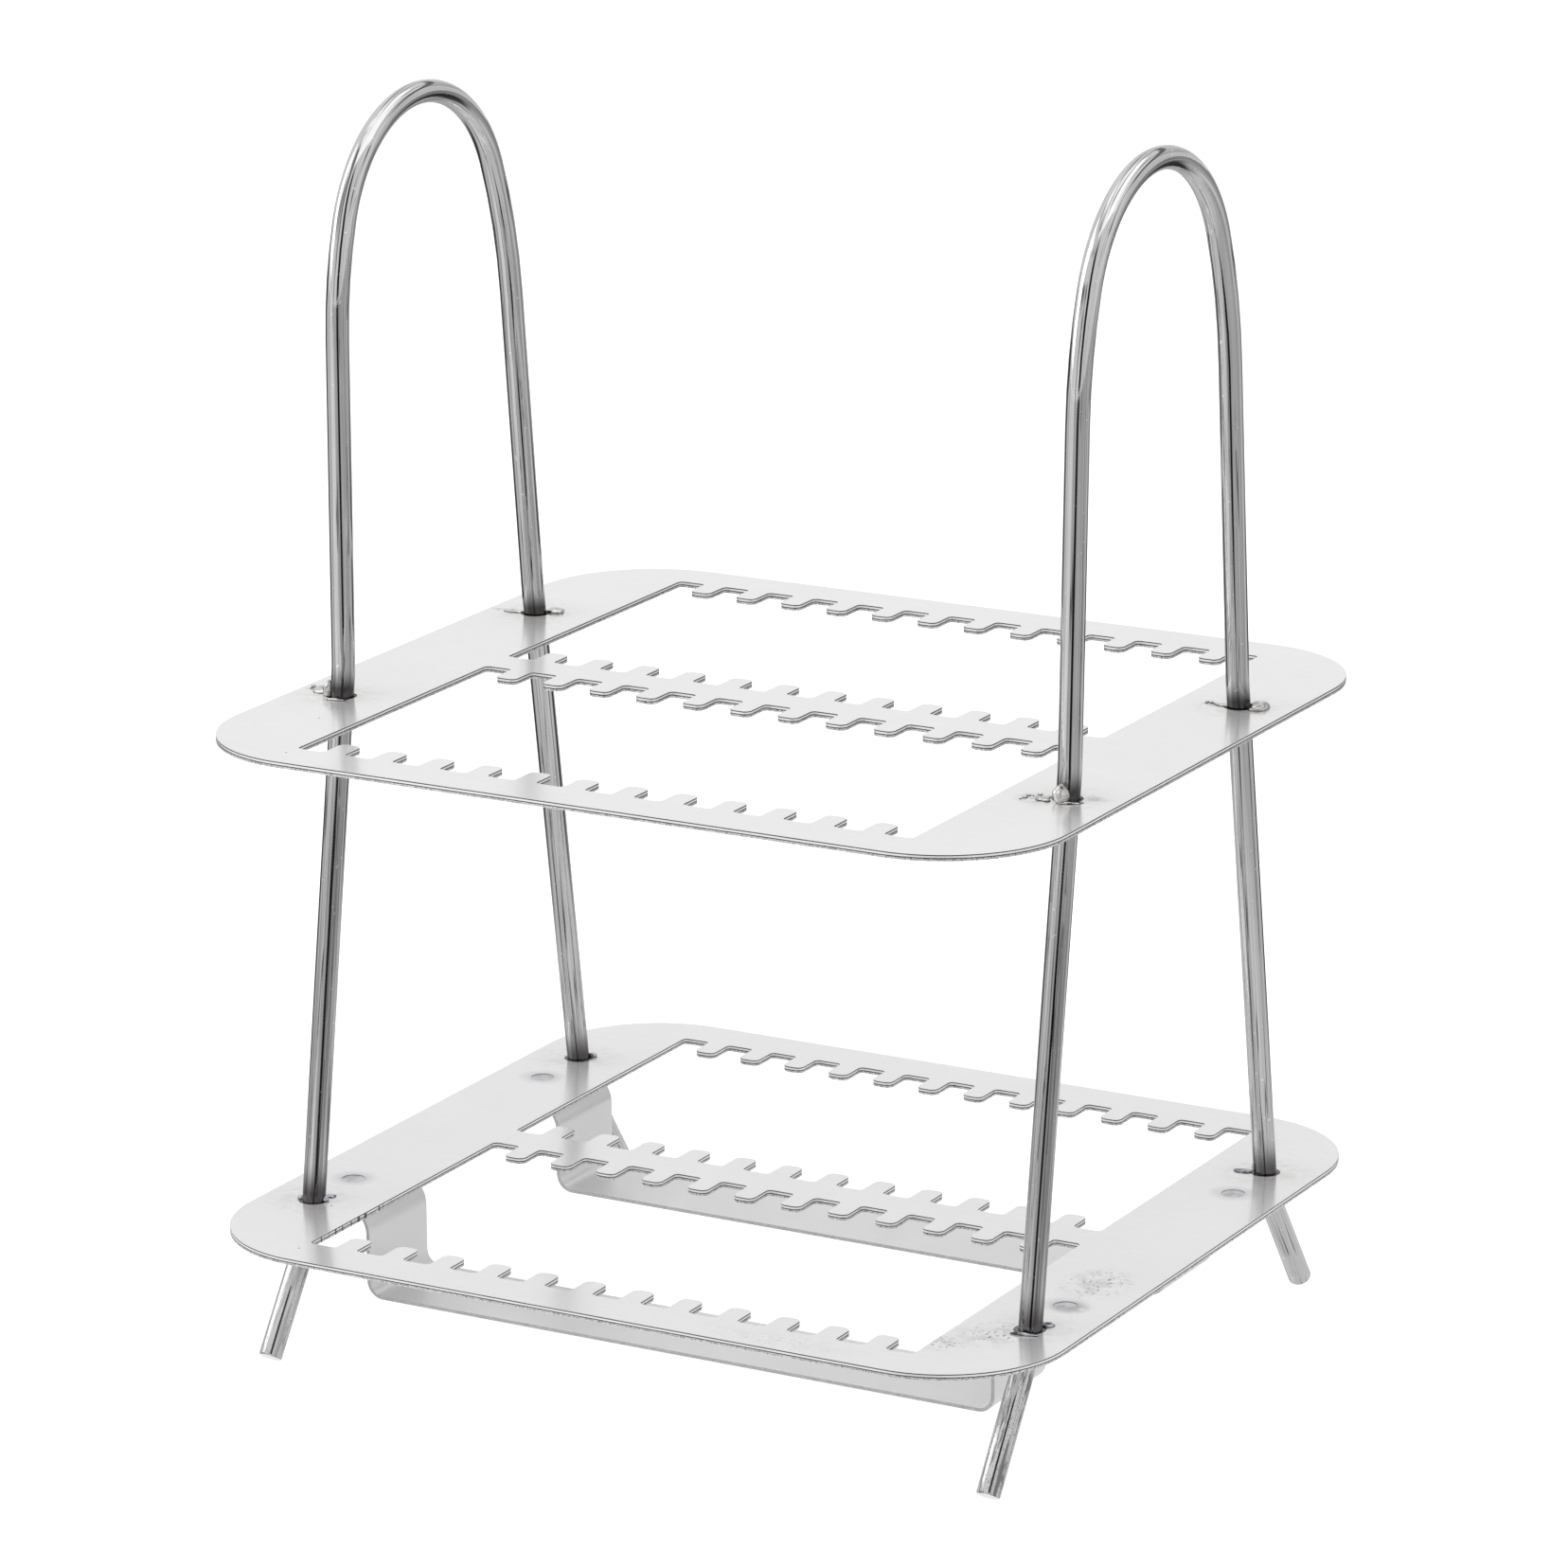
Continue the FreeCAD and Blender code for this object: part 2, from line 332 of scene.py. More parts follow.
def lower_plate_marks(finish, base, height, mottle):
    """Rims and rings round the spot welds, and grime with pits towards the front right."""
    place = finish.place
    rim = union([finish.spot(x, y, 1.0, 2.3, 0.9) for x, y in SPOTS])
    ring = union([finish.spot(x, y, 1.0, 1.25) - finish.spot(x, y, 0.75, 0.95) for x, y in SPOTS])
    base = finish.mix(rim * (0.25 + mottle * 0.45), base, SPOT_RIM)
    base = finish.mix(ring * 0.30, base, SPOT_RING)
    patches = [finish.spot(*patch) for patch in LOWER_GRIME]
    patches = union([*patches, finish.spot(*LOWER_FAINT_GRIME) * 0.3])
    pits = patches * finish.noise(place, 3.6, 1.0, 0.4).rise(0.62, 0.70)
    grime = patches * finish.noise(place, 0.7, 4.0, 0.6).rise(0.38, 0.62)
    smear = finish.spot(*LOWER_SMEAR) * finish.noise(place, 1.6, 3.0).rise(0.3, 0.5)
    base = finish.mix(grime * 0.42, base, GRIME)
    base = finish.mix(smear * 0.60, base, SMEAR)
    return finish.mix(pits * 0.85, base, PIT), height - pits * 2.5


def sheared_edge(finish, plate, colours, grain, torn):
    """Colour of a sheared edge: a torn lower half, a burnished upper half, a dark line
    between them, and a painted dark reflection along the top where the edge rounds over."""
    level = (finish.z - (PLATE_TOP[plate] - SHEET)) / SHEET
    speckled = 0.60 + torn.rise(0.44, 0.50) * 0.75 - torn.rise(0.56, 0.62) * 1.10
    burnished = 1.65 + (grain - 0.5) * 0.6
    smooth_cut = level.rise(0.44, 0.50)
    tone = speckled * (1 - smooth_cut) + burnished * smooth_cut
    # A dark line where the torn and burnished halves meet, and a painted reflection: a dark band
    # along the top of the edge.
    seam_and_painted_top = abs(level - 0.45).fall(0.06, 0.10).most(level.rise(0.76, 0.82))
    tone = tone * (1 - seam_and_painted_top * (0.80 + torn * 0.15)) + level.fall(0.04, 0.12) * 0.5
    edge = finish.shade(colours.cut_edge, tone)
    if plate == "lower_plate":
        bars = finish.noise(finish.join(0.0, finish.y * 2.1, 0.0), 1.0, 2.0).rise(0.53, 0.57)
        wall = abs(finish.x - BARRED_WALL_X).fall(0.3, 0.5) * finish.y.fall(*BARRED_WALL_END)
        edge = finish.mix(bars * wall * 0.9, edge, BAR)
    return edge


def sheet_finish(plate, colours):
    """Satin sheet with a fine grain along the comb rows, sheared edges, heat tints round
    the legs and a few marks."""
    finish = Finish(plate + "_satin_steel", {"Metallic": 0.55, "Specular IOR Level": 0.3})
    place = finish.place
    grain = finish.noise(finish.join(finish.x * 0.5, finish.y * 11, finish.z * 11), 1.0, 3.0)
    clouds = finish.noise(place, 0.11, 3.0)
    mottle = finish.noise(place, 1.4, 4.0, 0.6)
    dust = finish.noise(place, 4.2, 2.0, 0.4).rise(0.74, 0.80)

    tone = 0.90 + grain * 0.13 + clouds * 0.06 - mottle * 0.04 - dust * 0.16
    halo = union([finish.spot(x, y, 0.9, 4.6) for x, y in leg_places(plate)])
    straw = halo * finish.noise(place, 0.9, 2.0).rise(0.38, 0.62)
    base = finish.shade(colours.sheet, tone)
    base = finish.mix(straw * 0.45, base, STRAW_TINT)
    base = finish.mix(halo * mottle.rise(0.42, 0.65) * 0.40, base, BLUE_TINT)
    pinholes = union([finish.spot(*pinhole) for pinhole in PINHOLES])
    base = finish.mix(pinholes * 0.9, base, PINHOLE)
    height = grain * 0.35 + mottle * 0.35 + clouds * 2.0
    marks = top_plate_marks if plate == "top_plate" else lower_plate_marks
    base, height = marks(finish, base, height, mottle)

    side = 1 - abs(finish.facing[2]).rise(0.35, 0.75)
    torn = finish.noise(finish.join(finish.x * 4.2, finish.y * 4.2, finish.z * 7), 1.0, 3.0, 0.7)
    base = finish.mix(side, base, sheared_edge(finish, plate, colours, grain, torn))
    roughness = 0.11 + grain * 0.05 + clouds * 0.05 + mottle * 0.03 + side * (0.14 + torn * 0.20)
    height = height + side * torn * 4.0
    finish.feed(base=base, roughness=roughness, normal=finish.bump(height, 0.004, 0.6))
    return finish.material


# Colour of the strips' flanges under the spot welds.
STRIP_TINT = (0.42, 0.42, 0.50)


def strip_finish(colours):
    """Thin satin strip, a little duller than the plates, with a grain along its length and
    a tint under the spot welds."""
    finish = Finish("satin_strip", {"Metallic": 0.65, "Specular IOR Level": 0.3})
    place = finish.place
    grain = finish.noise(finish.join(finish.x * 0.4, finish.y * 9, finish.z * 2), 1.0, 3.0)
    clouds = finish.noise(place, 0.16, 3.0)
    tone = 0.92 + grain * 0.08 + clouds * 0.10
    dust = finish.noise(place, 3.4, 2.0).rise(0.72, 0.80)
    base = finish.shade(colours.strip, tone - dust * 0.18)
    side = abs(finish.facing[1]).rise(0.4, 0.8)
    torn = finish.noise(place, 3.5, 3.0, 0.7)
    base = finish.mix(side, base, finish.shade(colours.cut_edge, 0.55 + torn * 0.7))
    heat = union([finish.spot(x, y, 0.4, 2.0) for x, y in SPOTS])
    base = finish.mix(heat * 0.35, base, STRIP_TINT)
    roughness = 0.26 + grain * 0.07 + clouds * 0.06
    height = grain * 0.5 + clouds * 2.0 + side * torn * 2.0
    finish.feed(base=base, roughness=roughness, normal=finish.bump(height, 0.004, 0.6))
    return finish.material


# Colours of marks on the rods, of the soot with painted shade, and of the painted reflection on the
# feet's cut ends.
SCORE, NICK, FURROW, CUT_END_GLEAM = (0.05,) * 3, (0.92,) * 3, (0.10,) * 3, (0.97,) * 3
SOOT_AND_SHADE, TOP_SCALE = (0.13, 0.122, 0.118), (0.045, 0.04, 0.04)


def above_weld(finish, top, reach):
    """A band round the rods from just inside a plate to reach millimetres above it."""
    return finish.z.rise(top - 0.9, top - 0.3) * finish.z.fall(top + 0.4, top + reach)


def rod_finish(side, colours, radius):
    """Drawn rod with long die lines, small nicks, furrowed front feet, a painted reflection
    that whitens the cut at the feet's ends, soot and painted shade on the front legs
    between the plates and a dark heat tint that fades away above each weld."""
    finish = Finish(side + "_drawn_rod", {"Metallic": 1.0})
    place = finish.place
    across = ((finish.x - HOOP_X[side]) / radius).most(-1.0).least(1.0)
    turn = across.math("ARCSINE", across)

    def drawn(around, along):
        """A place for noise that is drawn out along the rod."""
        return finish.join(turn * around, finish.y * along, finish.z * along)

    lines = finish.noise(drawn(5.5, 0.035), 1.0, 4.0, 0.65)
    fine = finish.noise(drawn(16, 0.10), 1.0, 2.0)
    patches = finish.noise(place, 0.22, 3.0)
    nicks = finish.noise(place, 2.3, 2.0, 0.4).rise(0.71, 0.75)
    grit = finish.noise(place, 5.0, 3.0, 0.7)

    tone = 0.92 + (lines - 0.5) * 0.75 + (fine - 0.5) * 0.25 + (patches - 0.5) * 0.25
    base = finish.shade(colours.rod, tone)
    scores = finish.noise(drawn(2.6, 0.02), 1.0, 2.0, 0.55)
    scores = abs(scores - 0.5).fall(0.006, 0.020) * patches.rise(0.34, 0.46)
    base = finish.mix(scores * 0.85, base, SCORE)
    base = finish.mix(nicks * 0.55, base, NICK)

    front = finish.y.fall(-6, 2)
    foot = finish.z.fall(9.5, 10.8)
    furrows = finish.noise(drawn(2.2, 0.2), 1.0, 3.0, 0.6)
    rough = (furrows.rise(0.53, 0.58) * 0.75).most(grit.rise(0.57, 0.62) * 0.5)
    rough = rough * (0.45 + 0.55 * finish.x.rise(-10, 10))
    base = finish.mix(foot * front * rough, base, FURROW)
    # Painted reflection: the downward-facing cut ends of the feet are painted near white, standing
    # in for the bright floor they reflect.
    cut = finish.z.fall(1.1, 1.3) * (0 - finish.facing[2]).rise(0.70, 0.79)
    base = finish.mix(cut, base, CUT_END_GLEAM)

    upper, lower = (PLATE_TOP[plate] for plate in PLATES)
    # Soot and painted shade on the front legs between the plates: a darker, streaky colour that
    # stands in for the shaded floor these legs reflect.
    sooted_and_shaded = finish.z.rise(lower - 0.3, lower) * finish.z.fall(lower + 14.0, upper + 3.0) * front
    fade = 0.65 + patches * 0.5
    streaks = (1.25 - lines).rise(0.55, 0.95)
    base = finish.mix((sooted_and_shaded * streaks * 0.62).least(0.9), base, SOOT_AND_SHADE)
    tinted = above_weld(finish, lower, 3.4) * fade
    base = finish.mix(tinted.least(0.95), base, colours.heat_tint)
    scaled = above_weld(finish, upper, 2.5) * fade * 1.1
    base = finish.mix(scaled.least(0.95), base, TOP_SCALE)

    roughness = 0.035 + fine * 0.05 + patches * 0.04 + cut * 0.35 + foot * 0.05
    height = lines * 1.2 + fine * 0.4 + nicks + foot * grit
    finish.feed(base=base, roughness=roughness, normal=finish.bump(height, 0.0025, 0.5))
    return finish.material


# Colour of the painted shade along the rim where a bead meets the sheet.
RIM_SHADE = (0.06, 0.055, 0.055)
# Base colour, tint and roughness of weld metal. The lower welds take the heat tint.
BRIGHT_WELD = ((0.60, 0.585, 0.57), (0.30, 0.29, 0.285), 0.10)
TINTED_WELD, TINTED_ROUGHNESS = (0.46, 0.46, 0.52), 0.16
SPOT_WELD = ((0.56, 0.56, 0.58), (0.36, 0.36, 0.40), 0.30)


def weld_finish(name, base_colour, tint_colour, roughness, sheet_top=None):
    """Once-molten metal with a smooth skin and a patchy heat tint. Where sheet_top is
    given, the rim that lies on the sheet is darkened with painted shade, where the bead meets the
    sheet."""
    finish = Finish(name, {"Metallic": 1.0})
    swirl = finish.noise(finish.place, 1.3, 3.0)
    skin = finish.noise(finish.place, 4.0, 2.0)
    base = finish.mix(swirl.rise(0.40, 0.66), base_colour, tint_colour)
    if sheet_top is not None:
        # Painted shade: a dark band along the crease where the bead meets the sheet. The flattest
        # beads lie mostly within it and come out dark.
        rim = (finish.z + (skin - 0.5) * 0.10).fall(sheet_top + 0.02, sheet_top + 0.09)
        base = finish.mix(rim * 0.92, base, RIM_SHADE)
    finish.feed(
        base=base, roughness=roughness + skin * 0.10,
        normal=finish.bump(swirl * 2.0 + skin, 0.02, 0.6))
    return finish.material


# ------------------------------------------------------------------- geometry
def add_piece(name, form, material, node):
    """A mesh object made from a bmesh, standing for one CAD node."""
    mesh = bpy.data.meshes.new(name)
    form.to_mesh(mesh)
    form.free()
    mesh.materials.append(material)
    piece = bpy.data.objects.new(name, mesh)
    bpy.context.scene.collection.objects.link(piece)
    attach(piece, "root")
    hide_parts(node)
    return piece


# Vertices closer than SAME_POINT are one. Faces that turn by less than FLAT_ANGLE are
# joined, edges over SHARP_ANGLE are shaded sharp, and those over WORN_ANGLE are rounded.
SAME_POINT = 0.0002
FLAT_ANGLE, SHARP_ANGLE, WORN_ANGLE = radians(0.4), radians(35), radians(40)


def rounded_sheet(node, name, material, rounding):
    """A sheet node with its sharp edges worn round."""
    form = bmesh.new()
    form.from_mesh(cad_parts[node].data)
    bmesh.ops.remove_doubles(form, verts=form.verts, dist=SAME_POINT * MM)
    bmesh.ops.dissolve_limit(
        form, angle_limit=FLAT_ANGLE, use_dissolve_boundaries=False,
        verts=form.verts, edges=form.edges, delimit=set())
    for face in form.faces:
        face.smooth = True
    piece = add_piece(name, form, material, node)
    piece.data.set_sharp_from_angle(angle=SHARP_ANGLE)
    bevel = piece.modifiers.new("Worn edges", "BEVEL")
    bevel.width = rounding
    bevel.segments = 2
    bevel.limit_method = "ANGLE"
    bevel.angle_limit = WORN_ANGLE
    bevel.harden_normals = True
    return piece


ARC_STEP = radians(4)
LEAST_GAP = 0.05


def bent_path(corners):
    """Points along straight runs joined by tangent arcs, from (y, z, radius) corners.
    Points closer than LEAST_GAP are left out, because they would kink the rod."""
    points = []
    last = len(corners) - 1
    for index, (y, z, radius) in enumerate(corners):
        corner = Vector((y, z))
        if index in (0, last):
            points.append(corner)
            continue
        before = (Vector(corners[index - 1][:2]) - corner).normalized()
        after = (Vector(corners[index + 1][:2]) - corner).normalized()
        half = before.angle(after) / 2
        centre = corner + (before + after).normalized() * (radius / sin(half))
        start = corner + before * (radius / tan(half)) - centre
        sweep = start.angle_signed(corner + after * (radius / tan(half)) - centre)
        count = max(2, round(abs(sweep) / ARC_STEP))
        for part in range(count + 1):
            turned = start.copy()
            turned.rotate(Matrix.Rotation(-sweep * part / count, 2))
            if (centre + turned - points[-1]).length > LEAST_GAP:
                points.append(centre + turned)
    return points


# Half of a rod's centre line: its foot end, foot bend and upper bend as (y, z), the
# bends' radii, the angle at which the crown's arc starts and the legs' lean above the
# upper bend, in degrees, and how far forward each crown is set.
HOOP_SHAPE = {
    "foot_end": (26.703, 0.516), "foot_bend": (20.206, 9.8), "upper_bend": (14.005, 51.9),
    "foot_radius": 2.2, "upper_radius": 12.0, "crown_radius": 11.25, "start_angle": 20.0,
    "lean": 3.2, "crown_top": 94.24, "forward": {"left": 2.0, "right": 0.8},
}


def hoop_corners(side):
    """Corners and bend radii of one rod, from its front foot over the crown to its rear
    foot. The straight runs between the bends lean towards the crown."""
    shape = HOOP_SHAPE
    opening = tan(radians(shape["start_angle"]))
    lean = tan(radians(shape["lean"]))
    bend_y, bend_z = shape["upper_bend"]
    rise = 1 / sin(radians(shape["start_angle"])) - 1
    crown_z = shape["crown_top"] + shape["crown_radius"] * rise
    shoulder_z = (crown_z * opening - bend_y - bend_z * lean) / (opening - lean)
    shoulder_y = (crown_z - shoulder_z) * opening
    forward = shape["forward"][side] / (shape["crown_top"] - bend_z)
    crown = Vector((-(crown_z - bend_z) * forward, crown_z))
    shift = (shoulder_z - bend_z) * forward
    shoulders = {sy: Vector((sy * shoulder_y - shift, shoulder_z)) for sy in (-1, 1)}
    opened = (shoulders[-1] - crown).angle(shoulders[1] - crown)
    reach = shape["crown_radius"] / tan(opened / 2)
    halves = {}
    for sy, shoulder in shoulders.items():
        bend = Vector((sy * bend_y, bend_z))
        to_crown = crown - shoulder
        radius = (to_crown.length - reach) * tan((bend - shoulder).angle(to_crown) / 2)
        foot_y, foot_z = shape["foot_end"]
        ankle_y, ankle_z = shape["foot_bend"]
        halves[sy] = [
            (sy * foot_y, foot_z, 0), (sy * ankle_y, ankle_z, shape["foot_radius"]),
            (*bend, shape["upper_radius"]), (*shoulder, radius),
        ]
    return halves[-1] + [(*crown, shape["crown_radius"])] + halves[1][::-1]


# Rings of a rounded rim: how far along the rod and how far inwards, as shares of it.
RIM_STEPS = ((0, 1), (0.3, 0.3))


def rod_form(points, x, radius, sides, rim):
    """A round rod along points of the plane at x, with rounded rims at its cut ends."""
    last = len(points) - 1
    stations = []
    for index, point in enumerate(points):
        ahead = points[min(index + 1, last)]
        behind = points[max(index - 1, 0)]
        stations.append((point, (ahead - behind).normalized(), radius))
    first, final = stations[0], stations[-1]
    stations[0] = (first[0] + first[1] * rim, first[1], radius)
    stations[-1] = (final[0] - final[1] * rim, final[1], radius)
    lead, tail = [], []
    for along, inwards in RIM_STEPS:
        size = radius - rim * inwards
        lead.append((first[0] + first[1] * rim * along, first[1], size))
        tail.insert(0, (final[0] - final[1] * rim * along, final[1], size))
    form = bmesh.new()
    rings = []
    for point, heading, size in lead + stations + tail:
        across = Vector((heading.y, -heading.x))
        ring = []
        for step in range(sides):
            angle = 2 * pi * step / sides
            offset = across * (cos(angle) * size)
            place = Vector((x + sin(angle) * size, point.x + offset.x, point.y + offset.y))
            ring.append(form.verts.new(place * MM))
        rings.append(ring)
    for one, two in zip(rings, rings[1:]):
        for step in range(sides):
            after = (step + 1) % sides
            form.faces.new((one[step], one[after], two[after], two[step]))
    form.faces.new(rings[0][::-1])
    form.faces.new(rings[-1])
    bmesh.ops.recalc_face_normals(form, faces=form.faces)
    for face in form.faces:
        face.smooth = len(face.verts) == 4
    return form


# Unevenness and subdivisions of a grain of spatter.
GRAIN_LUMPS, GRAIN_DETAIL = 0.3, 2


def add_bead(form, centre, size, turn, lumps, seed, detail=4):
    """A lumpy drop of weld metal. size is its three half-lengths, and turn is in degrees."""
    made = bmesh.ops.create_icosphere(form, subdivisions=detail, radius=1.0)
    spin = Matrix.Rotation(radians(turn), 3, "Z")
    for vertex in made["verts"]:
        where = vertex.co * 1.3 + Vector((seed * 7.3, seed * 3.1, seed * 1.7))
        swell = 1 + lumps * noise.noise(where) + lumps * 0.4 * noise.noise(where * 2.3)
        shaped = Vector([a * b * swell for a, b in zip(vertex.co, size)])
        vertex.co = (Vector(centre) + spin @ shaped) * MM
    for face in form.faces:
        face.smooth = True


def add_spatter(form, foot, middle, spread, grains, seed):
    """Small grains of weld metal scattered over a patch."""
    draw = Random(seed + grains)
    for grain in range(grains):
        x = middle[0] + spread[0] * draw.uniform(-1, 1)
        y = middle[1] + spread[1] * draw.uniform(-1, 1)
        width = draw.uniform(0.10, 0.24)
        size = (width, width * draw.uniform(0.6, 1.1), width * draw.uniform(0.35, 0.7))
        place = foot + Vector((x, y, 0))
        add_bead(
            form, place, size, draw.uniform(0, 180), GRAIN_LUMPS, seed + grain, GRAIN_DETAIL)


# Weld beads beside each leg: (x, y, z) from the leg's centre at the plate's top face,
# the bead's half-lengths and its turn. Leg -1 is the front one and leg 1 the rear one.
# The flattest beads lie within their finish's painted-shade rim and show as dark gaps beside the
# legs.
TOP_BEADS = {
    "left": {
        -1: [
            ((-0.95, -0.35, 0.35), (0.46, 0.46, 0.80), 20),
            ((-2.0, 0.60, 0.02), (0.80, 0.95, 0.34), -12),
            ((0.55, -1.05, 0.00), (0.55, 0.32, 0.07), 10),
            ((0.35, -1.45, 0.02), (0.80, 0.16, 0.15), 12),
        ],
        1: [
            ((1.35, 0.95, 0.06), (0.70, 0.62, 0.30), 15),
            ((-1.7, -0.45, 0.02), (0.85, 0.30, 0.14), 10),
        ],
    },
    "right": {
        -1: [
            ((0.02, -1.16, 0.62), (0.64, 0.62, 0.74), 0),
            ((0.85, -0.80, 0.00), (0.70, 0.62, 0.06), 25),
            ((0.75, -1.35, 0.02), (0.80, 0.17, 0.16), 25),
            ((-1.35, -1.25, 0.04), (0.62, 0.30, 0.20), -15),
        ],
        1: [
            ((1.48, 0.30, 0.05), (0.80, 1.10, 0.40), 0),
            ((-1.25, -0.25, 0.02), (0.60, 0.28, 0.14), 0),
        ],
    },
}
# Gritty spatter beside some legs: the middle and the half-lengths of its patch, from
# the leg's centre, and the number of grains.
TOP_SPATTER = {
    "left": {-1: ((-2.6, 1.0), (1.0, 0.6), 7), 1: ((1.6, 1.5), (0.9, 0.6), 6)},
    "right": {-1: ((-2.1, -0.9), (0.95, 0.85), 16), 1: ((-1.9, -0.2), (0.9, 0.4), 6)},
}
# The flat puddles round the lower legs lie mostly within their finish's painted-shade rim and come
# out dark.
LOWER_BEADS = {
    "left": {
        -1: [
            ((0.00, -0.06, 0.00), (1.08, 1.10, 0.05), 0),
            ((-1.05, -0.20, 0.05), (0.26, 0.24, 0.20), 0),
            ((0.98, 0.15, 0.10), (0.26, 0.26, 0.30), 30),
            ((0.75, 1.25, 0.02), (0.42, 0.40, 0.14), 0),
        ],
        1: [
            ((0.00, -0.06, 0.00), (1.08, 1.08, 0.05), 0),
            ((0.85, 0.80, 0.08), (0.40, 0.32, 0.24), 25),
        ],
    },
    "right": {
        -1: [
            ((0.00, -0.12, 0.00), (1.18, 1.22, 0.06), 0),
            ((0.75, 1.25, 0.04), (0.52, 0.50, 0.20), 40),
            ((0.20, -1.36, 0.02), (1.10, 0.17, 0.20), 10),
        ],
        1: [
            ((0.00, -0.08, 0.00), (1.12, 1.12, 0.05), 0),
            ((-1.05, 0.80, 0.10), (0.42, 0.36, 0.30), 0),
            ((-1.60, -0.60, 0.00), (0.80, 0.55, 0.12), 0),
        ],
    },
}


# ------------------------------------------------------------------ operators
# Worn edges of the thin strips, as a share of the plates'.
STRIP_WEAR = 0.8


class RACK_OT_plates(bpy.types.Operator):
    """Make the two comb plates with worn edges and a satin finish"""

    bl_idname = "rack.plates"
    bl_label = "Comb Plates"

    def execute(self, context):
        sizes = context.scene.rack_sizes
        colours = context.scene.rack_colours
        for node in PLATES:
            material = sheet_finish(node, colours)
            rounded_sheet(node, node + "_finished", material, sizes.edge_rounding)
        return {"FINISHED"}


class RACK_OT_strips(bpy.types.Operator):
    """Make the two bent support strips"""

    bl_idname = "rack.strips"
    bl_label = "Support Strips"

    def execute(self, context):
        material = strip_finish(context.scene.rack_colours)
        rounding = context.scene.rack_sizes.edge_rounding * STRIP_WEAR
        for node in STRIPS:
            rounded_sheet(node, node + "_finished", material, rounding)
        return {"FINISHED"}


class RACK_OT_hoops(bpy.types.Operator):
    """Make the two bent rods that are legs, feet and handles"""

    bl_idname = "rack.hoops"
    bl_label = "Rod Hoops"

    def execute(self, context):
        sizes = context.scene.rack_sizes
        radius = sizes.rod_diameter / MM / 2
        for side, x in HOOP_X.items():
            material = rod_finish(side, context.scene.rack_colours, radius)
            points = bent_path(hoop_corners(side))
            form = rod_form(points, x, radius, sizes.rod_sides, sizes.foot_rounding / MM)
            add_piece(side + "_hoop_drawn", form, material, side + "_hoop")
        return {"FINISHED"}


class RACK_OT_welds(bpy.types.Operator):
    """Make the weld beads between the rods and the plates"""

    bl_idname = "rack.welds"
    bl_label = "Weld Beads"

    def execute(self, context):
        lumps = context.scene.rack_sizes.bead_lumps
        tint = context.scene.rack_colours.heat_tint
        upper, lower = (PLATE_TOP[plate] for plate in PLATES)
        bright = weld_finish("bright_weld", *BRIGHT_WELD, upper)
        dark = weld_finish("tinted_weld", TINTED_WELD, tuple(tint), TINTED_ROUGHNESS, lower)
        levels = (
            ("top", "top_plate", TOP_BEADS, TOP_SPATTER, bright),
            ("lower", "lower_plate", LOWER_BEADS, {}, dark),
        )
        for level, plate, beads, spatter, material in levels:
            for side, x in HOOP_X.items():
                form = bmesh.new()
                seed = 0
                for sy, leg in beads[side].items():
                    foot = Vector((x, sy * LEG_Y[plate], PLATE_TOP[plate]))
                    for offset, size, turn in leg:
                        seed += 1
                        add_bead(form, foot + Vector(offset), size, turn, lumps, seed)
                    if side in spatter:
                        add_spatter(form, foot, *spatter[side][sy], seed)
                node = side + "_hoop_" + level + "_welds"
                add_piece(node.replace("welds", "beads"), form, material, node)
        return {"FINISHED"}


class RACK_OT_spot_welds(bpy.types.Operator):
    """Finish the spot-weld nuggets in the lower plate and strip flanges"""

    bl_idname = "rack.spot_welds"
    bl_label = "Spot Welds"

    def execute(self, context):
        material = weld_finish("spot_weld_skin", *SPOT_WELD)
        for row in ("front", "rear"):
            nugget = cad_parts[row + "_strip_spot_welds"]
            nugget.material_slots[0].material = material
        return {"FINISHED"}


# The stage, in metres. Softboxes have a direction from the rack, a distance, a width and
# height and a power in watts.
FLOOR_HALF_WIDTH, FLOOR_ROUGHNESS, FLOOR_SHINE = 4.0, 0.8, 0.2
CARD_RADIUS, CARD_HEIGHT = 2.5, 0.05 * MM
NEAR_CLIP = 0.01
LIT_POINT = Vector((0, 0, 0.045))
SOFTBOXES = (
    ("overhead", (0.1, 0.1, 1.0), 0.9, (1.0, 1.0), 2.2),
    ("left_box", (-0.9, -0.5, 0.55), 0.8, (0.5, 0.7), 1.4),
)
WHITE = (1.0, 1.0, 1.0, 1.0)
# The card's light near the rack, and its least light.
CARD_LIGHT, LEAST_LIGHT = 0.82, 0.01
# The middle of the rack, in millimetres, and how far right and up of the picture's
# centre it lies.
RACK_MIDDLE, SHIFT_RIGHT, SHIFT_UP = Vector((0, 0, 47.8)), 0.357, 4.254


def view_axes(azimuth, elevation, roll):
    """Right, up and back directions of a view."""
    back = Vector((sin(azimuth) * cos(elevation), -cos(azimuth) * cos(elevation), sin(elevation)))
    level = Vector((cos(azimuth), sin(azimuth), 0))
    rise = back.cross(level)
    right = level * cos(roll) + rise * sin(roll)
    return right, back.cross(right), back


def add_camera(stage):
    """A camera that looks at the rack's middle, shifted to set it in the picture."""
    right, up, back = view_axes(stage.camera_azimuth, stage.camera_elevation, stage.camera_roll)
    aim = (RACK_MIDDLE - right * SHIFT_RIGHT - up * SHIFT_UP) * MM
    camera = bpy.data.objects.new("camera", bpy.data.cameras.new("camera"))
    camera.data.lens = stage.lens
    camera.data.sensor_width = SENSOR_WIDTH
    camera.data.clip_start = NEAR_CLIP
    place = Matrix((right, up, back)).transposed().to_4x4()
    place.translation = aim + back * stage.camera_distance
    camera.matrix_world = place
    bpy.context.scene.collection.objects.link(camera)
    bpy.context.scene.camera = camera


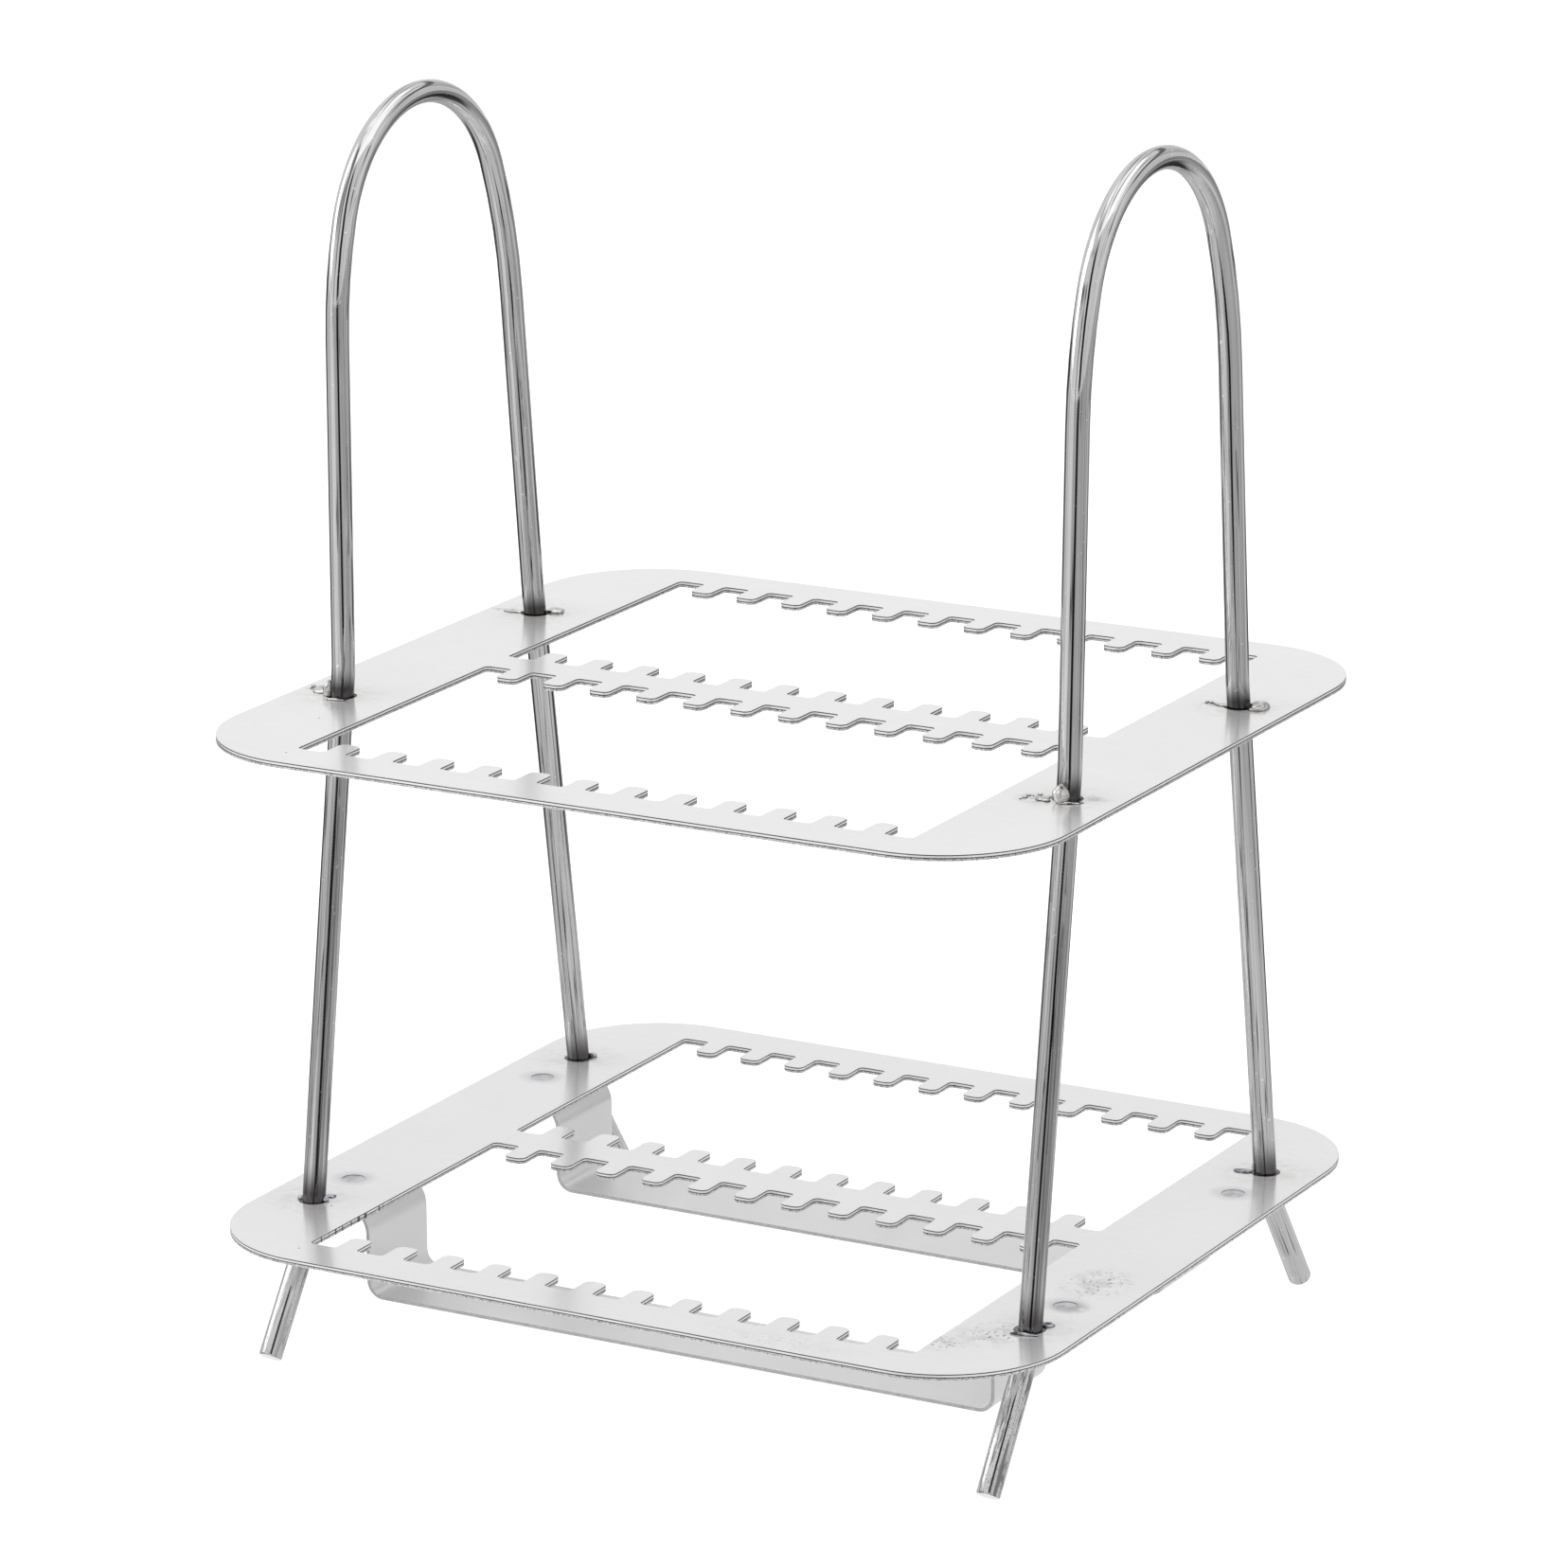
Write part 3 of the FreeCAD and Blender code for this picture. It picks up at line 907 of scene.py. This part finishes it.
def add_softbox(name, direction, distance, size, power):
    """A rectangular lamp that faces the rack."""
    light = bpy.data.lights.new(name, "AREA")
    light.shape = "RECTANGLE"
    light.size, light.size_y = size
    light.energy = power
    lamp = bpy.data.objects.new(name, light)
    back = Vector(direction).normalized()
    lamp.location = LIT_POINT + back * distance
    lamp.rotation_euler = back.to_track_quat("Z", "Y").to_euler()
    bpy.context.scene.collection.objects.link(lamp)


def bearings(x, y, azimuth):
    """How far a place lies towards the camera and to its right, and its turn from the
    camera's azimuth in degrees."""
    ahead = x * sin(azimuth) - y * cos(azimuth)
    right = x * cos(azimuth) + y * sin(azimuth)
    return ahead, right, right.math("ARCTAN2", right, ahead) * (180 / pi)


def add_reflection_card(azimuth):
    """A card just above the floor that only reflections see, bright near the rack and grey
    further out. Its zones are set by their turn from the camera in degrees and their
    distance in millimetres: a dark core towards the camera, a brighter band to the left,
    slivers at the sides and dark outlines beyond the rack."""
    form = bmesh.new()
    bmesh.ops.create_circle(form, cap_ends=True, segments=96, radius=CARD_RADIUS)
    mesh = bpy.data.meshes.new("reflection_card")
    form.to_mesh(mesh)
    form.free()
    card = bpy.data.objects.new("reflection_card", mesh)
    card.location.z = CARD_HEIGHT
    bpy.context.scene.collection.objects.link(card)
    for ray in ("camera", "diffuse", "transmission", "volume_scatter", "shadow"):
        setattr(card, "visible_" + ray, False)
    finish = Finish("reflection_card", {})
    ahead, right, turn = bearings(finish.x, finish.y, azimuth)
    far = (finish.x * finish.x + finish.y * finish.y) ** 0.5
    away = far.rise(60, 120)
    core = (abs(right + 3) / far.most(60)).fall(0.12, 0.21) * ahead.rise(40, 80)
    band = abs(turn + 60).fall(14, 30)
    slivers = abs(abs(turn) - 102).fall(3, 10)
    outline = abs(turn).rise(114, 124) * abs(turn).fall(140, 150)
    outline = outline * (1 - turn.rise(60, 90) * far.rise(230, 330) * 0.6)
    level = CARD_LIGHT + away * (band * 0.45 + slivers * 0.25 - outline * 0.52 - 0.26)
    level = level * (1 - core * 0.985)
    emission = finish.node("ShaderNodeEmission", None, {"Strength": level.most(LEAST_LIGHT)})
    output = finish.tree.nodes["Material Output"]
    finish.tree.links.new(emission.socket, output.inputs["Surface"])
    mesh.materials.append(finish.material)


def add_room(azimuth, strength):
    """Even light from all round. Reflections also see a dark opening on the camera's side
    and a dark seam over a slightly dimmer wall to the rear right."""
    world = bpy.data.worlds.new("even_room")
    world.use_nodes = True
    nodes = Nodes(world.node_tree)
    coordinates = nodes.tree.nodes.new("ShaderNodeTexCoord")
    x, y, z = nodes.split(Wire(nodes, coordinates.outputs["Generated"]))
    turn = bearings(x, y, azimuth)[2]
    opening = abs(turn + 1).fall(7, 13) * z.fall(0.70, 0.90) * 0.98
    rear_right = turn.rise(88, 104) * turn.fall(160, 174)
    seam = abs(z - 0.47).fall(0.03, 0.08) * 0.80
    wall = z.fall(0.40, 0.50) * 0.20
    dark = opening.most(seam.most(wall) * rear_right)
    glossy = Wire(nodes, nodes.tree.nodes.new("ShaderNodeLightPath").outputs["Is Glossy Ray"])
    level = (1 - dark * glossy) * strength
    background = nodes.tree.nodes["Background"]
    background.inputs["Color"].default_value = WHITE
    nodes.tree.links.new(level.socket, background.inputs["Strength"])
    bpy.context.scene.world = world


class RACK_OT_stage(bpy.types.Operator):
    """Make the floor, the lights and the camera"""

    bl_idname = "rack.stage"
    bl_label = "Stage"

    def execute(self, context):
        stage = context.scene.rack_stage
        form = bmesh.new()
        bmesh.ops.create_grid(form, x_segments=1, y_segments=1, size=FLOOR_HALF_WIDTH)
        mesh = bpy.data.meshes.new("floor")
        form.to_mesh(mesh)
        form.free()
        floor = bpy.data.objects.new("floor", mesh)
        context.scene.collection.objects.link(floor)
        paint = bpy.data.materials.new("pale_floor")
        paint.use_nodes = True
        shader = paint.node_tree.nodes["Principled BSDF"]
        shader.inputs["Base Color"].default_value = (*stage.floor_colour, 1.0)
        shader.inputs["Emission Color"].default_value = WHITE
        shader.inputs["Emission Strength"].default_value = stage.floor_glow
        shader.inputs["Roughness"].default_value = FLOOR_ROUGHNESS
        shader.inputs["Specular IOR Level"].default_value = FLOOR_SHINE
        mesh.materials.append(paint)
        add_reflection_card(stage.camera_azimuth)
        add_room(stage.camera_azimuth, stage.room_light)
        for softbox in SOFTBOXES:
            add_softbox(*softbox)
        context.scene.view_settings.view_transform = "Standard"
        add_camera(stage)
        return {"FINISHED"}


class RACK_PT_sidebar(bpy.types.Panel):
    bl_idname = "RACK_PT_sidebar"
    bl_label = "Comb Rack"
    bl_space_type = "VIEW_3D"
    bl_region_type = "UI"
    bl_category = "Rack"

    def draw(self, context):
        for name in GROUPS:
            group = getattr(context.scene, name)
            box = self.layout.box()
            for key in group.bl_rna.properties.keys():
                if key not in ("rna_type", "name"):
                    box.prop(group, key)
        for maker in MAKERS:
            self.layout.operator(maker.bl_idname)


GROUPS = {"rack_sizes": RackSizes, "rack_colours": RackColours, "rack_stage": RackStage}
MAKERS = (
    RACK_OT_plates, RACK_OT_strips, RACK_OT_hoops, RACK_OT_welds, RACK_OT_spot_welds, RACK_OT_stage,
)
CLASSES = (*GROUPS.values(), *MAKERS, RACK_PT_sidebar)


def register():
    for entry in CLASSES:
        bpy.utils.register_class(entry)
    for name, group in GROUPS.items():
        setattr(bpy.types.Scene, name, PointerProperty(type=group))


def unregister():
    for name in GROUPS:
        delattr(bpy.types.Scene, name)
    for entry in reversed(CLASSES):
        bpy.utils.unregister_class(entry)


def main():
    register()
    bpy.ops.rack.plates()
    bpy.ops.rack.strips()
    bpy.ops.rack.hoops()
    bpy.ops.rack.welds()
    bpy.ops.rack.spot_welds()
    bpy.ops.rack.stage()


if __name__ == "__main__":
    main()
